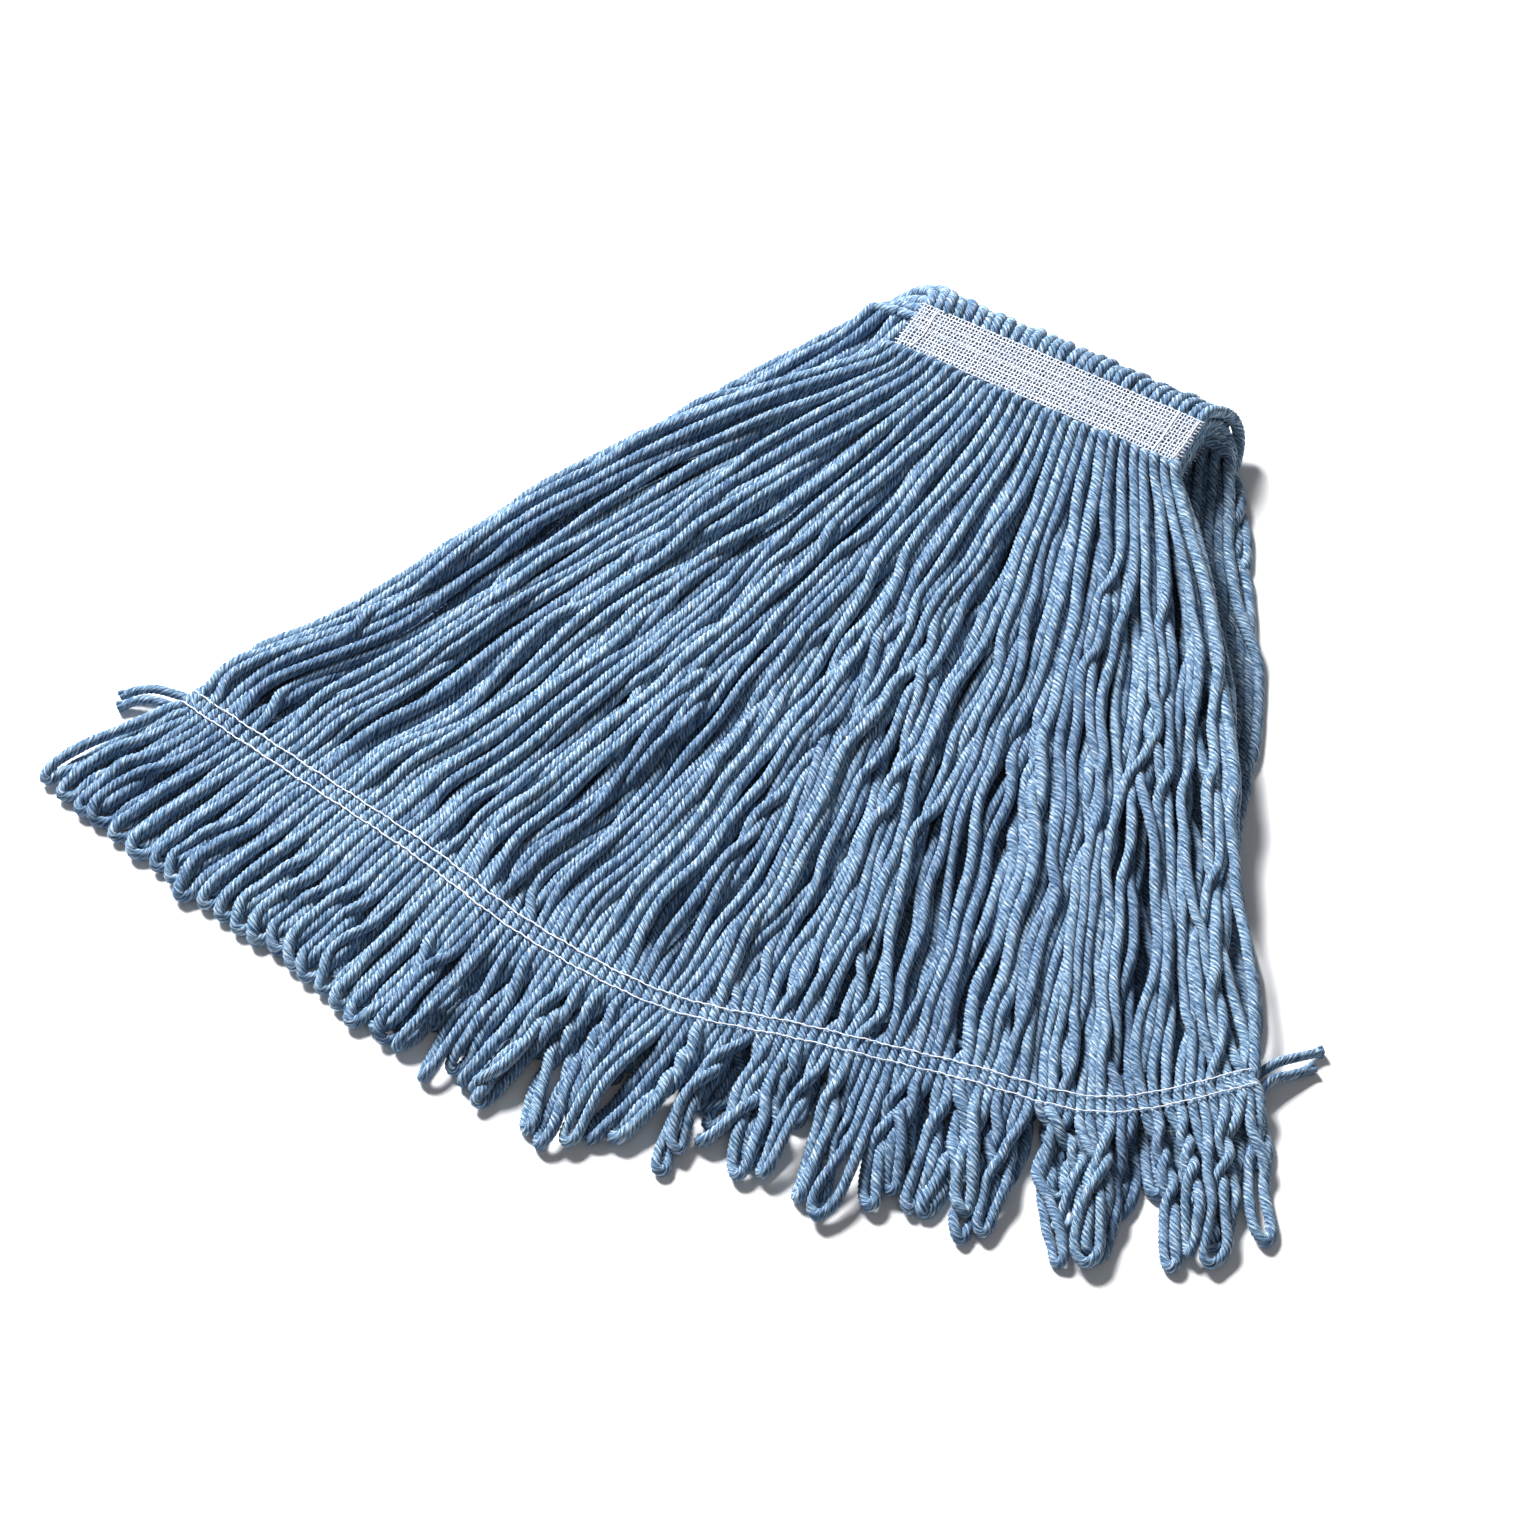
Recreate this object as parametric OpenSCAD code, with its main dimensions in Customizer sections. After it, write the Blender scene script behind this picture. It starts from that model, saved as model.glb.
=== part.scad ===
// Looped-end string mop head without its handle, lying flat and folded in two over its headband.
// The origin is on the floor under the middle of the headband. +Y points from the tail to the headband,
// +X to the right as seen from the tail, +Z up. The front half is the upper layer, the back half the lower one.

/* [Headband] */
// Length of the headband tape, across the strands
band_len = 146; // [130:1:160]
// Width of the headband tape, along the strands
band_wid = 28; // [24:1:30]
// Thickness of the woven tape
tape_t = 0.8; // [0.4:0.1:0.9]
// Width of the folded hem at the right end of the tape
hem_w = 9; // [5:1:14]
// Height of the yarn stack of one half, where the tape holds it
stack_h = 17; // [16:0.25:17]

/* [Strands] */
// Half of the width across the tail band
tail_half = 256; // [240:1:270]
// Distance from the middle of the headband to the tail band
tail_reach = 377; // [360:1:400]
// How far the outermost left strands bow outwards
bow_left = 26; // [10:1:30]
// How far the outermost right strands bow outwards
bow_right = 14; // [5:1:20]
// Half of the width of the back layer where it comes out of the fold
fold_half = 97; // [85:1:105]
// Distance that the back layer's fold sits to the left of the headband's middle
fold_shift = 8; // [0:1:12]

/* [Tail band] */
// Diameter of a cross cord, which is one length of the same yarn, pressed by the stitches
cord_d = 4; // [3:0.1:4.1]
// Distance between the two stitch rows
row_pitch = 8; // [7:0.5:9]
// How far the back half's tail band sits above the front half's
back_offset = 14; // [13:0.5:16]
// Thickness of the sewing thread
thread_t = 0.4; // [0.2:0.1:0.5]
// Width of a stitch row's thread
thread_w = 0.9; // [0.5:0.1:1.5]

/* [Fold] */
// Gap between neighbouring bundles of strands
gap = 0.4; // [0.3:0.05:0.6]
// Number of strands that lie on each other under the tape
rows = 4; // [4:1:4]

/* [Hidden] */
BUNDLES = 15;
function two(i) = i < 10 ? str("0", i) : str(i);
function bundle_names(side) = [for (i = [1:BUNDLES]) str(side, "_yarn_", two(i))];

yarn_blue = [0.33, 0.47, 0.63];
thread_white = [0.92, 0.92, 0.93];
clear = 0.2;                          // between pieces that lie on each other
half_wid = band_wid / 2;
strands_end = half_wid + 1;           // where the straight strands hand over to the crown
inner_tape_z = stack_h + 0.3;         // underside of the tape between the halves
front_z = inner_tape_z + tape_t + clear;
front_top = front_z + stack_h;        // underside of the upper tape
tape_top = front_top + clear + tape_t;
fold_z = (stack_h + front_z) / 2;     // height of the fold's centre line
back_cord_z = 6.8;                    // height of every cross cord's centre line

// Outlines across the mop, from the left edge to the right edge at equal steps, as fractions of
// tail_half and tail_reach: the tail band, and the ends of the loops below it.
tail_shape = [[-1, -0.89], [-0.74, -0.92], [-0.48, -0.95], [-0.22, -0.99], [0.05, -1],
              [0.3, -0.96], [0.56, -0.92], [0.81, -0.88], [1, -0.76]];
loop_shape = [[-1.13, -1.07], [-0.84, -1.12], [-0.54, -1.16], [-0.25, -1.21], [0.05, -1.215],
              [0.35, -1.17], [0.64, -1.12], [0.94, -1.07], [1.17, -0.94]];

// Along a strand: 0 is where it leaves the tape or the fold, 1 is the tail band, 2 is the loop's end.
front_high = [[0, front_top], [0.1, 32], [0.3, 27], [0.5, 23], [0.7, 19.5], [0.85, 16.5], [0.95, 14],
              [1, 13.6], [1.1, 12.5], [1.4, 10.2], [1.9, 9.8], [2, 9]];
front_low = [[0, front_z], [0.1, 17.6], [0.3, 14.6], [0.5, 12.3], [0.7, 10.6], [0.85, 9.4], [0.9, 9],
             [1.05, 9], [1.3, 5], [2, 5]];
back_high = [[0, stack_h], [0.08, stack_h], [0.18, 14.5], [0.3, 12.5], [0.5, 10.5], [0.7, 8.5],
             [0.85, 6], [0.93, 4.5], [2, 4.5]];
bow_along = [[0, 0], [0.08, 0.45], [0.16, 0.8], [0.3, 1], [0.5, 0.8], [0.75, 0.3], [1, 0], [2, 0]];
front_stations = [0, 0.05, 0.1, 0.2, 0.3, 0.5, 0.7, 0.85, 0.93, 1, 1.05, 1.15, 1.3, 1.6, 1.9, 2];
back_stations = [0, 0.08, 0.18, 0.3, 0.5, 0.7, 0.85, 0.93, 1, 1.3, 1.6, 1.9, 2];

// ---------- curves ----------
function scaled(p) = [p[0] * tail_half, p[1] * tail_reach];
function knot(shape, i) = scaled(shape[max(0, min(len(shape) - 1, i))]);
function smooth(a, b, c, d, t) =
    0.5 * (2 * b + (c - a) * t + (2 * a - 5 * b + 4 * c - d) * t * t + (3 * b - a - 3 * c + d) * t * t * t);
// The point of an outline at u, from -1 at the left edge to 1 at the right edge.
function along(shape, u) =
    let (steps = len(shape) - 1, s = (u + 1) / 2 * steps, i = min(steps - 1, floor(s)))
    smooth(knot(shape, i - 1), knot(shape, i), knot(shape, i + 1), knot(shape, i + 2), s - i);
// The direction square to the tail band at u, pointing to the headband.
function square_to_band(u) =
    let (d = along(tail_shape, min(1, u + 0.02)) - along(tail_shape, max(-1, u - 0.02)), n = norm(d))
    [-d[1] / n, d[0] / n];
function band_point(u, offset) = along(tail_shape, u) + offset * square_to_band(u);
function mix(a, b, t) = a + (b - a) * t;

function bow(u, s) = u * u * u * (u < 0 ? bow_left : bow_right) * lookup(s, bow_along);
function loop_point(u, offset, s) = mix(band_point(u, offset), along(loop_shape, u), s - 1);
function front_point(u, s) =
    s > 1 ? loop_point(u, 0, s)
          : mix([u * band_len / 2, -half_wid], band_point(u, 0), s) + [bow(u, s), 0];
function fold_x(u) = u * fold_half - fold_shift;
function back_point(u, s) =
    s > 1 ? loop_point(u, back_offset, s)
          : mix([fold_x(u), strands_end], band_point(u, back_offset), s);

// ---------- solids from rings ----------
// A closed solid through a list of rings that all have the same number of points.
module skin(rings) {
    n = len(rings[0]);
    last = (len(rings) - 1) * n;
    polyhedron(
        points = [for (r = rings) for (p = r) p],
        faces = concat(
            [for (k = [0:len(rings) - 2]) for (j = [0:n - 1]) let (a = k * n + j, b = k * n + (j + 1) % n)
                each [[a, b, b + n], [a, b + n, a + n]]],
            [for (j = [1:n - 2]) [0, j + 1, j]],
            [for (j = [1:n - 2]) [last, last + j, last + j + 1]]));
}
// A flat bundle's cross-section: three points below and three above, from the middle of the underside.
function bundle_ring(l, m, r, low, high) =
    [[m[0], m[1], low], [l[0], l[1], low], [l[0], l[1], high],
     [m[0], m[1], high], [r[0], r[1], high], [r[0], r[1], low]];
function inset(p, by) = [p[0] + by, p[1]];
function edge_u(i) = -1 + 2 * i / BUNDLES;

// A tube along a path of 3-D points.
function tube_ring(path, k, d, sides) =
    let (a = path[max(0, k - 1)], b = path[min(len(path) - 1, k + 1)], t = (b - a) / norm(b - a),
         side = cross(t, [0, 0, 1]), w = side / norm(side), up = cross(w, t))
    [for (j = [0:sides - 1]) let (q = -360 * j / sides) path[k] + d / 2 * (cos(q) * w + sin(q) * up)];
module tube(path, d, sides = 8) {
    skin([for (k = [0:len(path) - 1]) tube_ring(path, k, d, sides)]);
}
// A flat ribbon of thread along a path of 2-D points, from height low to height high.
module ribbon(path, low, high) {
    skin([for (k = [0:len(path) - 1])
        let (a = path[max(0, k - 1)], b = path[min(len(path) - 1, k + 1)], t = (b - a) / norm(b - a),
             w = [-t[1], t[0]] * thread_w / 2, l = path[k] + w, r = path[k] - w)
        [[r[0], r[1], low], [r[0], r[1], high], [l[0], l[1], high], [l[0], l[1], low]]]);
}

// ---------- strands ----------
module front_yarn(i) {
    l = edge_u(i);
    r = edge_u(i + 1);
    m = (l + r) / 2;
    x_l = l * band_len / 2 + gap / 2;
    x_r = r * band_len / 2 - gap / 2;
    start = bundle_ring([x_l, strands_end], [(x_l + x_r) / 2, strands_end], [x_r, strands_end], front_z, front_top);
    color(yarn_blue) skin(concat([start], [for (s = front_stations)
        bundle_ring(inset(front_point(l, s), gap / 2), front_point(m, s), inset(front_point(r, s), -gap / 2),
                    lookup(s, front_low), lookup(s, front_high))]));
}
module back_yarn(i) {
    l = edge_u(i);
    r = edge_u(i + 1);
    m = (l + r) / 2;
    color(yarn_blue) skin([for (s = back_stations)
        bundle_ring(inset(back_point(l, s), gap / 2), back_point(m, s), inset(back_point(r, s), -gap / 2),
                    0, lookup(s, back_high))]);
}
// One row of strands around the fold, wider at the back layer than at the tape.
module crown_row(i) {
    row_t = (front_top - front_z) / rows;
    r_in = (front_z - stack_h) / 2 + 0.1 + (i - 1) * row_t;
    r_out = r_in + row_t - clear;
    steps = 12;
    color(yarn_blue) skin([for (k = [0:steps])
        let (q = 90 - 180 * k / steps, w = (1 - sin(q)) / 2, y = strands_end + 0.3,
             x_l = mix(-band_len / 2, fold_x(-1), w), x_r = mix(band_len / 2, fold_x(1), w))
        [[x_r, y + r_in * cos(q), fold_z + r_in * sin(q)], [x_l, y + r_in * cos(q), fold_z + r_in * sin(q)],
         [x_l, y + r_out * cos(q), fold_z + r_out * sin(q)], [x_r, y + r_out * cos(q), fold_z + r_out * sin(q)]]]);
}

// ---------- headband ----------
module tape(z) {
    translate([-band_len / 2, -half_wid, z]) cube([band_len, band_wid, tape_t]);
}
module headband_front_tape() {
    color(thread_white) union() {
        tape(front_top + clear);
        // The hem folded back on the right end
        translate([band_len / 2 - hem_w, -half_wid, tape_top - 0.1]) cube([hem_w, band_wid, 0.4]);
    }
}
module headband_back_tape() {
    color(thread_white) tape(inner_tape_z);
}
// Five rows of stitches along the tape's upper face.
module headband_stitching() {
    stitch_rows = 5;
    color(thread_white) for (k = [0:stitch_rows - 1])
        translate([-band_len / 2 + 3, -half_wid + 3 + k * (band_wid - 6) / (stitch_rows - 1) - thread_w / 2,
                   tape_top + 0.02])
            cube([band_len - hem_w - 12, thread_w, 0.25]);
}
// A line of tack thread across the tape, at x.
module tack(x) {
    color(thread_white) translate([x - thread_w / 2, -half_wid + 1, tape_top + 0.32])
        cube([thread_w, band_wid - 2, 0.25]);
}
module headband_tack_left() {
    tack(-band_len / 2 + 8);
}
module headband_tack_right() {
    tack(band_len / 2 - hem_w - 4);
    tack(band_len / 2 - 2);
}

// ---------- tail bands ----------
band_steps = 44;
function lift(p, z) = [p[0], p[1], z];
function band_route(offset, z) =
    [for (k = [0:band_steps]) lift(band_point(-1 + 2 * k / band_steps, offset), z)];
// The cut ends that come out past the outermost strands, by hand, from the end to the band
front_upper_left = [[-289, -340, 2.6], [-282, -334, 4.2], [-271, -331, 6.5]];
front_lower_left = [[-284, -350, 2.8], [-278, -344, 4.4], [-268, -339, 6.6]];
front_upper_right = [[262, -268, 6.5], [270, -262, 4.2], [278, -257, 2.6]];
front_lower_right = [[268, -281, 6.6], [276, -277, 4.4], [283, -273, 2.8]];

module front_tail_cord_upper() {
    color(yarn_blue)
        tube(concat(front_upper_left, band_route(row_pitch / 2, back_cord_z), front_upper_right), cord_d);
}
module front_tail_cord_lower() {
    color(yarn_blue)
        tube(concat(front_lower_left, band_route(-row_pitch / 2, back_cord_z), front_lower_right), cord_d);
}
module back_tail_cord_upper() {
    color(yarn_blue) tube(band_route(back_offset + row_pitch / 2, back_cord_z), cord_d);
}
module back_tail_cord_lower() {
    color(yarn_blue) tube(band_route(back_offset - row_pitch / 2, back_cord_z), cord_d);
}
module stitch_row(offset, low) {
    ribbon([for (k = [0:band_steps]) band_point(-1 + 2 * k / band_steps, offset)], low, low + thread_t);
}
// Height of the bundles' upper faces under each row
front_upper_row_z = 13.85;
front_lower_row_z = 13.65;
back_row_z = 4.6;
module front_tail_stitch_upper() {
    color(thread_white) stitch_row(row_pitch / 2, front_upper_row_z);
}
module front_tail_stitch_lower() {
    color(thread_white) stitch_row(-row_pitch / 2, front_lower_row_z);
}
// The back half's rows lie beside its cords, on the side that faces the front half.
module back_tail_stitch_upper() {
    color(thread_white) stitch_row(back_offset + row_pitch, back_row_z);
}
module back_tail_stitch_lower() {
    color(thread_white) stitch_row(back_offset - row_pitch, back_row_z);
}

for (i = [0:BUNDLES - 1]) {
    front_yarn(i);
    back_yarn(i);
}
for (i = [1:4])
    crown_row(i);
headband_front_tape();
headband_back_tape();
headband_stitching();
headband_tack_left();
headband_tack_right();
front_tail_cord_upper();
front_tail_cord_lower();
back_tail_cord_upper();
back_tail_cord_lower();
front_tail_stitch_upper();
front_tail_stitch_lower();
back_tail_stitch_upper();
back_tail_stitch_lower();
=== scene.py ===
"""The looks of a looped-end string mop head that lies flat, folded in two over its headband.

All lengths are in millimetres until a mesh is made. The strands' centre lines start from the outlines that
the CAD model uses. A small position-based rope solver then pushes them off the floor and apart.
"""
import math

import bpy
import numpy as np
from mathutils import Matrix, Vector


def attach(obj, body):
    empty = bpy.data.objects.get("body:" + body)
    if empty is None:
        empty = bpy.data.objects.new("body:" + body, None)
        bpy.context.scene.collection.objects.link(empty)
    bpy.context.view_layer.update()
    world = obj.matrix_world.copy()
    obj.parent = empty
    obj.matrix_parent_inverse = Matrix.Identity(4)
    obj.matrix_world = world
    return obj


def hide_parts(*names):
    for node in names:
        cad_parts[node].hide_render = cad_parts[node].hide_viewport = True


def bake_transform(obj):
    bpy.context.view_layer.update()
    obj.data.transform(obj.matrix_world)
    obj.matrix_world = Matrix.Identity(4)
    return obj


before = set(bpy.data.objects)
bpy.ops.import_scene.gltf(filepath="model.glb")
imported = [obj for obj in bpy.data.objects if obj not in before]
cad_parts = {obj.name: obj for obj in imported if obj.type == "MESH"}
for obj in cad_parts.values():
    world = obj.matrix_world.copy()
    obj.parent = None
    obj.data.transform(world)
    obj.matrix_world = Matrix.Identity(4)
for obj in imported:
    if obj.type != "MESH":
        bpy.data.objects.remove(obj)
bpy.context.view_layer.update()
MM = 0.001

# ---------------------------------------------------------------- driving dimensions, as in the CAD model
BAND_LEN, BAND_WID, TAPE_T = 146.0, 28.0, 0.8
STACK_H = 17.0
TAIL_HALF, TAIL_REACH = 256.0, 377.0
BOW_LEFT, BOW_RIGHT = 26.0, 14.0
FOLD_HALF, FOLD_SHIFT = 97.0, 8.0
CORD_D, ROW_PITCH, BACK_OFFSET = 4.0, 8.0, 14.0
BUNDLES, ROWS, STRANDS = 15, 4, 120
CLEAR = 0.2
HALF_WID = BAND_WID / 2
STRANDS_END = HALF_WID + 1
INNER_TAPE_Z = STACK_H + 0.3
FRONT_Z = INNER_TAPE_Z + TAPE_T + CLEAR
FRONT_TOP = FRONT_Z + STACK_H
TAPE_TOP = FRONT_TOP + CLEAR + TAPE_T
FOLD_Z = (STACK_H + FRONT_Z) / 2
BACK_CORD_Z = 6.8
ROW_T = STACK_H / ROWS

TAIL_SHAPE = np.array([(-1, -.89), (-.74, -.92), (-.48, -.95), (-.22, -.99), (.05, -1),
                       (.3, -.96), (.56, -.92), (.81, -.88), (1, -.76)])
LOOP_SHAPE = np.array([(-1.13, -1.07), (-.84, -1.12), (-.54, -1.16), (-.25, -1.21), (.05, -1.215),
                       (.35, -1.17), (.64, -1.12), (.94, -1.07), (1.17, -.94)])
FRONT_HIGH = ([0, .1, .3, .5, .7, .85, .95, 1, 1.1, 1.4, 1.9, 2],
              [FRONT_TOP, 32, 27, 23, 19.5, 16.5, 14, 13.6, 12.5, 10.2, 9.8, 9])
FRONT_LOW = ([0, .1, .3, .5, .7, .85, .9, 1.05, 1.3, 2], [FRONT_Z, 17.6, 14.6, 12.3, 10.6, 9.4, 9, 9, 5, 5])
BACK_HIGH = ([0, .08, .18, .3, .5, .7, .85, .93, 2], [STACK_H, STACK_H, 14.5, 12.5, 10.5, 8.5, 6, 4.5, 4.5])
BOW_ALONG = ([0, .08, .16, .3, .5, .75, 1, 2], [0, .45, .8, 1, .8, .3, 0, 0])

# ---------------------------------------------------------------- the yarn
YARN_R = 2.7              # to the crest of a ply
GROOVE_R = 2.2            # to the groove between two plies
PLIES = 6                 # visible ridges round the yarn
TWIST_PITCH = 15.0        # one full turn of the plies
RING_STEP = 1.1
RING_ANGLES = np.pi / PLIES * np.arange(2 * PLIES)
RING_RADII = np.array([YARN_R, GROOVE_R] * PLIES)
# 1 on a groove's vertices: the yarn material paints shade into the colour there
RING_GROOVE = np.array([0.0, 1.0] * PLIES)
CORD_R = 2.3              # the cross cords' crest radius
TOUCH_R = 2.5             # half the distance at which two strands touch

rng = np.random.default_rng(7)


# ---------------------------------------------------------------- curves
def mix(a, b, t):
    return a + (b - a) * t


def smoothstep(a, b, x):
    t = np.clip((x - a) / (b - a), 0, 1)
    return t * t * (3 - 2 * t)


def along(shape, u):
    """The point of an outline at u, from -1 at the left edge to 1 at the right edge, for an array of u."""
    u = np.asarray(u, float)
    steps = len(shape) - 1
    s = (u + 1) / 2 * steps
    i = np.clip(np.floor(s).astype(int), 0, steps - 1)
    t = (s - i)[..., None]
    a, b, c, d = (shape[np.clip(i + k, 0, steps)] for k in (-1, 0, 1, 2))
    p = 0.5 * (2 * b + (c - a) * t + (2 * a - 5 * b + 4 * c - d) * t ** 2 + (3 * b - a - 3 * c + d) * t ** 3)
    return p * np.array([TAIL_HALF, TAIL_REACH])


def band_point(u, offset=0.0):
    """A point of the tail band, offset towards the headband."""
    u = np.asarray(u, float)
    d = along(TAIL_SHAPE, np.minimum(1, u + .02)) - along(TAIL_SHAPE, np.maximum(-1, u - .02))
    n = np.stack([-d[..., 1], d[..., 0]], -1) / np.linalg.norm(d, axis=-1)[..., None]
    return along(TAIL_SHAPE, u) + np.asarray(offset)[..., None] * n


def smooth_noise(count, waves, roll_off=1.0):
    """A smooth random curve of count values between about -1 and 1."""
    x = np.linspace(0, 1, count)
    out = np.zeros(count)
    for k in range(1, waves + 1):
        out += rng.normal() / k ** roll_off * np.sin(2 * np.pi * (k * x * .5 + rng.random()))
    return out / (np.abs(out).max() + 1e-9)


def wander(rows, cols, row_waves, col_waves):
    """A smooth random field over rows and columns, with a standard deviation of 1."""
    y, x = np.mgrid[0:1:rows * 1j, 0:1:cols * 1j]
    out = np.zeros((rows, cols))
    for _ in range(24):
        a, b = rng.uniform(-row_waves, row_waves), rng.uniform(-col_waves, col_waves)
        out += rng.normal() * np.sin(2 * np.pi * (a * y + b * x + rng.random()))
    return out / out.std()


# ---------------------------------------------------------------- where every strand goes
U = -1 + 2 * (np.arange(STRANDS) + .5) / STRANDS
COLUMNS = STRANDS // ROWS
COLUMN_U = -1 + 2 * (np.arange(STRANDS) // ROWS + .5) / COLUMNS
LAYER = np.concatenate([rng.permutation(ROWS) for _ in range(COLUMNS)])     # 0 next to the fold's inside
LAYER_R = FOLD_Z - STACK_H + .1 + (LAYER + .5) * ROW_T - CLEAR / 2
S_POINTS = 74
S = np.linspace(0, 1, S_POINTS)


def slack(u, s):
    """How far a strand may wave sideways: the right and the middle are slacker, most near the tail."""
    across = mix(.7, 1.0, smoothstep(-.6, .2, u))
    return across * smoothstep(.03, .35, s) * (1 - smoothstep(.94, .995, s))


def waves():
    """Sideways waves of every strand, in mm: a wide drift, bunches of a few strands, and each on its own."""
    drift = 2.0 * wander(STRANDS, S_POINTS, 4, 1.5)
    bunch = 2.2 * wander(STRANDS, S_POINTS, 16, 3)
    own = 3.2 * wander(STRANDS, S_POINTS, 60, 2.5) + 1.2 * wander(STRANDS, S_POINTS, 60, 9)
    return drift + bunch + own


def strand_paths(front):
    """Centre lines from the tape, or the fold, to the tail band: an array of strands, points, xyz."""
    u = mix(COLUMN_U[:, None], U[:, None], smoothstep(0, .75, S)[None])
    s = np.broadcast_to(S, u.shape)
    offset = np.full(u.shape, 0.0 if front else BACK_OFFSET)
    tail = band_point(u, offset)
    if front:
        start = np.stack([u * BAND_LEN / 2, np.full(u.shape, -HALF_WID)], -1)
        bow = u ** 3 * np.where(u < 0, BOW_LEFT, BOW_RIGHT) * np.interp(s, *BOW_ALONG)
    else:
        start = np.stack([u * FOLD_HALF - FOLD_SHIFT, np.full(u.shape, STRANDS_END)], -1)
        bow = np.zeros(u.shape)
    xy = mix(start, tail, s[..., None])
    knee = -7.0 * np.exp(-((s - .9) / .06) ** 2) * (1 - smoothstep(-.3, .5, u))
    xy[..., 0] += bow + waves() * slack(u, s) + knee
    low = np.interp(s, *FRONT_LOW) if front else np.zeros(s.shape)
    high = np.interp(s, *FRONT_HIGH) - .4 if front else np.interp(s, *BACK_HIGH)
    level = (LAYER if front else ROWS - 1 - LAYER)[:, None]
    later = np.concatenate([rng.permutation(ROWS) for _ in range(COLUMNS)])[:, None]
    level = (mix(level, later, smoothstep(.3, .75, S)[None]) + .5) / ROWS
    z = mix(low, high, mix(level, .5, smoothstep(.95, .995, s)))
    if front:
        z += 3.0 * level ** 2 * np.exp(-((s - .035) / .018) ** 2) * rng.uniform(.4, 1.2, (STRANDS, 1))
    z += 1.1 * wander(STRANDS, S_POINTS, 60, 5) * smoothstep(.1, .3, s) * (1 - smoothstep(.94, .99, s))
    return np.concatenate([xy, z[..., None]], -1)


LOOPS = STRANDS // 2
LEG_POINTS = 20
LOOP_PITCH = 8.5
LOOP_STATION = 1.5        # stands for s on every point of a loop


def loop_groups():
    """Sideways pull of every loop's tip and its height, in mm: loops fall together in heaps of a few."""
    pull, height = np.zeros(LOOPS), np.zeros(LOOPS)
    start = 0
    while start < LOOPS:
        members = np.arange(start, min(LOOPS, start + rng.integers(3, 7)))
        centre = members.mean() + .5 * rng.normal()
        pull[members] = (centre - members) * rng.uniform(.5, .8) * LOOP_PITCH
        height[members] = np.linspace(3.0, 12.5, len(members))[rng.permutation(len(members))]
        start = members[-1] + 1
    return pull, height


GROUP_PULL, GROUP_HEIGHT = loop_groups()
HALF_TURNS = [0, 1, 1, 2, 2, 3]


def loop_paths(front):
    """The loops below the tail band, each from one strand's band point to its neighbour's."""
    a, b = U[0::2], U[1::2]
    mid_u = (a + b) / 2
    offset = 0.0 if front else BACK_OFFSET
    root_a = band_point(a, np.full(LOOPS, offset - ROW_PITCH / 2))
    root_b = band_point(b, np.full(LOOPS, offset - ROW_PITCH / 2))
    root = (root_a + root_b) / 2
    messy = smoothstep(-.42, .05, mid_u)
    away = along(LOOP_SHAPE, mid_u) - root
    side = np.stack([-away[:, 1], away[:, 0]], -1) / np.linalg.norm(away, axis=1)[:, None]
    shorter = mix(0, .03, messy) if front else mix(.09, .4, messy)
    stretch = 1 + mix(.02, .09, messy) * rng.normal(size=LOOPS) - shorter
    heaped = messy * (GROUP_PULL + 2.2 * rng.normal(size=LOOPS))
    group = heaped + (1 - messy) * 2.0 * smooth_noise(LOOPS, 30, .1)
    if front:
        group[:2] -= (7.0, 3.0)
    tip = root + away * stretch[:, None] + side * group[:, None]
    width = mix(5.0 + .9 * rng.random(LOOPS), rng.uniform(2.7, 5.8, LOOPS), messy)
    wound = np.pi * rng.choice(HALF_TURNS, LOOPS) * rng.choice([-1, 1], LOOPS) + .5 * rng.normal(size=LOOPS)
    turn = mix(np.radians(rng.uniform(-28, -8, LOOPS)), wound, messy)
    out = np.zeros((LOOPS, 2 * LEG_POINTS, 3))
    t = np.linspace(0, 1, LEG_POINTS)
    reach = np.linalg.norm(tip - root, axis=1)
    for i in range(LOOPS):
        stop = 1 - width[i] / reach[i]
        psi = np.clip((t - .87) / .13, 0, 1) * np.pi / 2
        axis_t = np.where(t < .87, t / .87 * stop, stop + (1 - stop) * np.sin(psi))
        opened = mix(smoothstep(0, .55, axis_t), smoothstep(.5, .85, axis_t), messy[i])
        half = mix(2.2, width[i], opened) * np.cos(psi)
        twist = turn[i] * smoothstep(.02, mix(.5, .68, messy[i]), axis_t)
        curve = messy[i] * 5.0 * np.sin(np.pi * axis_t) * rng.normal()
        axis = mix(root[i], tip[i], axis_t[:, None]) + side[i] * curve[:, None]
        lie = mix(7.4, GROUP_HEIGHT[i], messy[i]) if front else 2.6
        level = mix(11.3 if front else 2.6, lie, smoothstep(0, .5, axis_t))
        level = mix(level, 1.8 + lie * .3, smoothstep(.62, 1, axis_t))
        lift = half * np.sin(twist)
        for sign, rows in ((-1, slice(0, LEG_POINTS)), (1, slice(2 * LEG_POINTS - 1, LEG_POINTS - 1, -1))):
            xy = axis + side[i] * (sign * half * np.cos(twist))[:, None]
            out[i, rows] = np.concatenate([xy, (level + sign * lift)[:, None]], -1)
    out[..., 2] = np.maximum(out[..., 2], TOUCH_R)
    return out


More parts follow.
